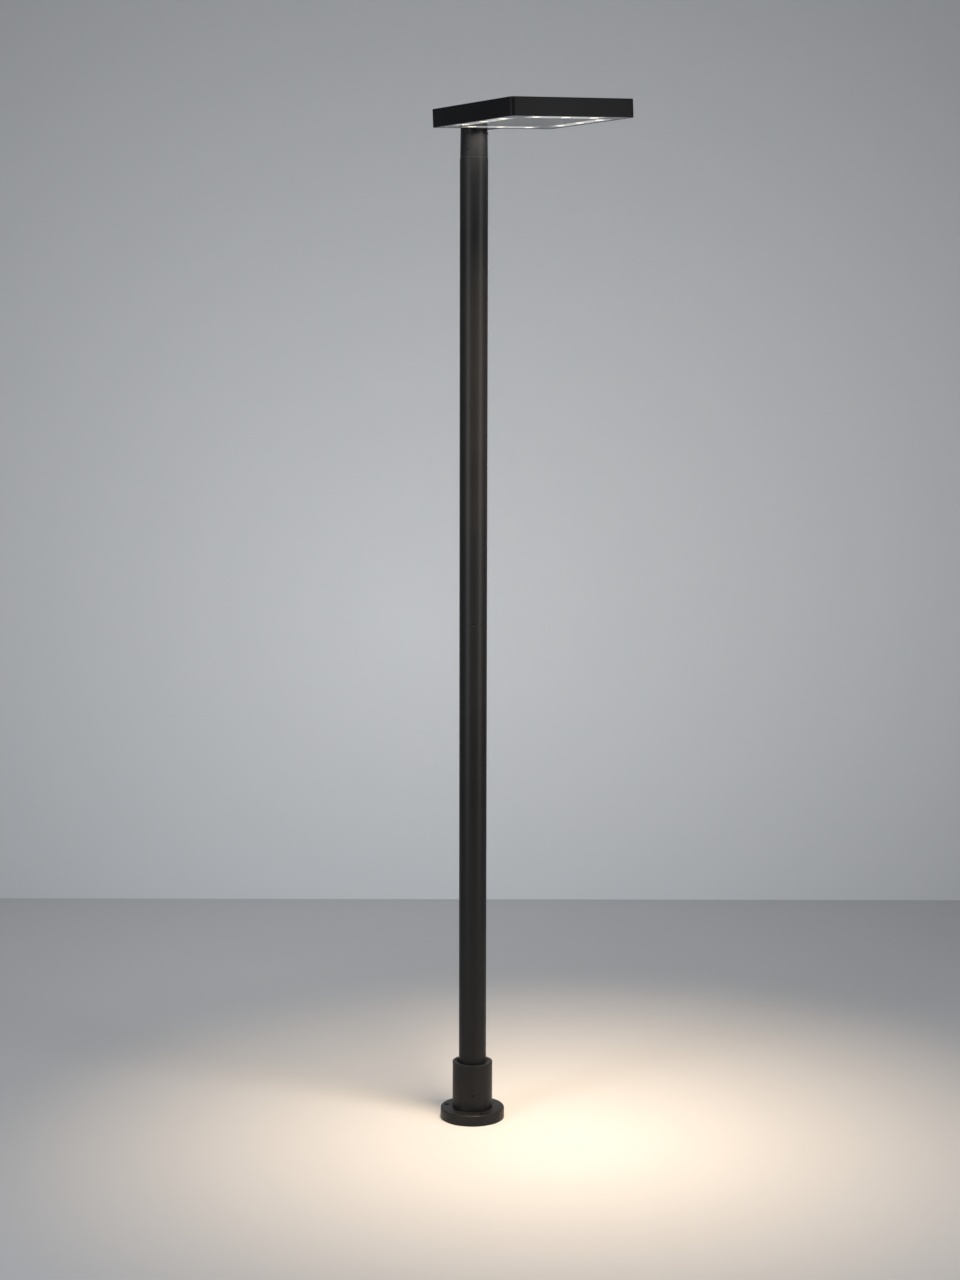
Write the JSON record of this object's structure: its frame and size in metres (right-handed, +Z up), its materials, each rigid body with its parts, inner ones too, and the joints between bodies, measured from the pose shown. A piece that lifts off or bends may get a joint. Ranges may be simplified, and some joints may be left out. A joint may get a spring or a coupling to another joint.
{
  "type": "street lamp post",
  "caption": "Round tubular lamp post on a bolted base flange, with a flat square LED head on a short arm that swivels and rolls.",
  "frame": {"origin": "centre of the fixing holes at the base flange's underside", "axes": "+Z up along the pole, +X the way the head projects, +Y to the left of that"},
  "size_m": [0.4375, 0.2994, 2.1933],
  "materials": {
    "coated_aluminium": "fine-textured anthracite powder coat",
    "bare_aluminium": "machined",
    "zinc_steel": "zinc plated",
    "black_steel": "blackened",
    "brass": "turned",
    "black_rubber": "matte",
    "cable_jacket": "satin",
    "black_plastic": "moulded",
    "white_plastic": "moulded",
    "red_plastic": "moulded",
    "board_white": "white solder mask",
    "mask_grey": "satin",
    "led_chip": "phosphor",
    "lens_clear": "moulded clear lens",
    "glass": "clear toughened glass"
  },
  "bodies": {
    "post": {"base_flange": "coated_aluminium", "base_spigot": "bare_aluminium", "spigot_screws": "zinc_steel", "base_collar": "coated_aluminium", "collar_set_screws": "black_steel", "collar_seal": "black_rubber", "base_gland": "black_plastic", "gland_locknut": "black_plastic", "supply_connector": "black_plastic", "earth_screw": "brass", "lower_tube": "coated_aluminium", "coupling_sleeve": "bare_aluminium", "seam_seal": "black_rubber", "seam_screws": "black_steel", "upper_tube": "coated_aluminium", "top_spigot": "coated_aluminium", "swivel_washer": "black_plastic", "pole_cable": "cable_jacket", "cable_plug": "black_plastic"},
    "swivel_arm": {"head_socket": "coated_aluminium", "socket_screws_lower": "black_steel", "socket_screws_upper": "black_steel", "cable_socket": "black_plastic", "arm_lead": "cable_jacket", "arm": "coated_aluminium", "arm_screws": "zinc_steel", "arm_cover": "coated_aluminium", "arm_cover_screws": "black_steel", "roll_spigot": "bare_aluminium", "roll_washer": "zinc_steel", "roll_nut": "zinc_steel"},
    "head": {"housing_frame": "coated_aluminium", "top_plate": "coated_aluminium", "top_plate_screws": "black_steel", "vent_plug": "black_plastic", "led_tray": "bare_aluminium", "tray_screws": "zinc_steel", "mask_panel": "mask_grey", "led_board_front": "board_white", "led_board_left": "board_white", "led_board_right": "board_white", "led_board_back": "board_white", "led_chips": "led_chip", "led_lenses": "lens_clear", "glass_gasket": "black_rubber", "cover_glass": "glass", "driver": "white_plastic", "driver_screws": "zinc_steel", "terminal_block": "white_plastic", "surge_protector": "red_plastic", "supply_tails": "cable_jacket", "driver_leads": "cable_jacket"}
  },
  "joints": [
    {"name": "head_swivel", "type": "hinge", "parent": "post", "child": "swivel_arm", "pos_m": [0, 0, 2.09585], "axis": [0, 0, 1], "range_deg": [-170, 170]},
    {"name": "head_roll", "type": "hinge", "parent": "swivel_arm", "child": "head", "pos_m": [0.069, 0, 2.16835], "axis": [1, 0, 0], "range_deg": [-12.5, 7.5]}
  ]
}
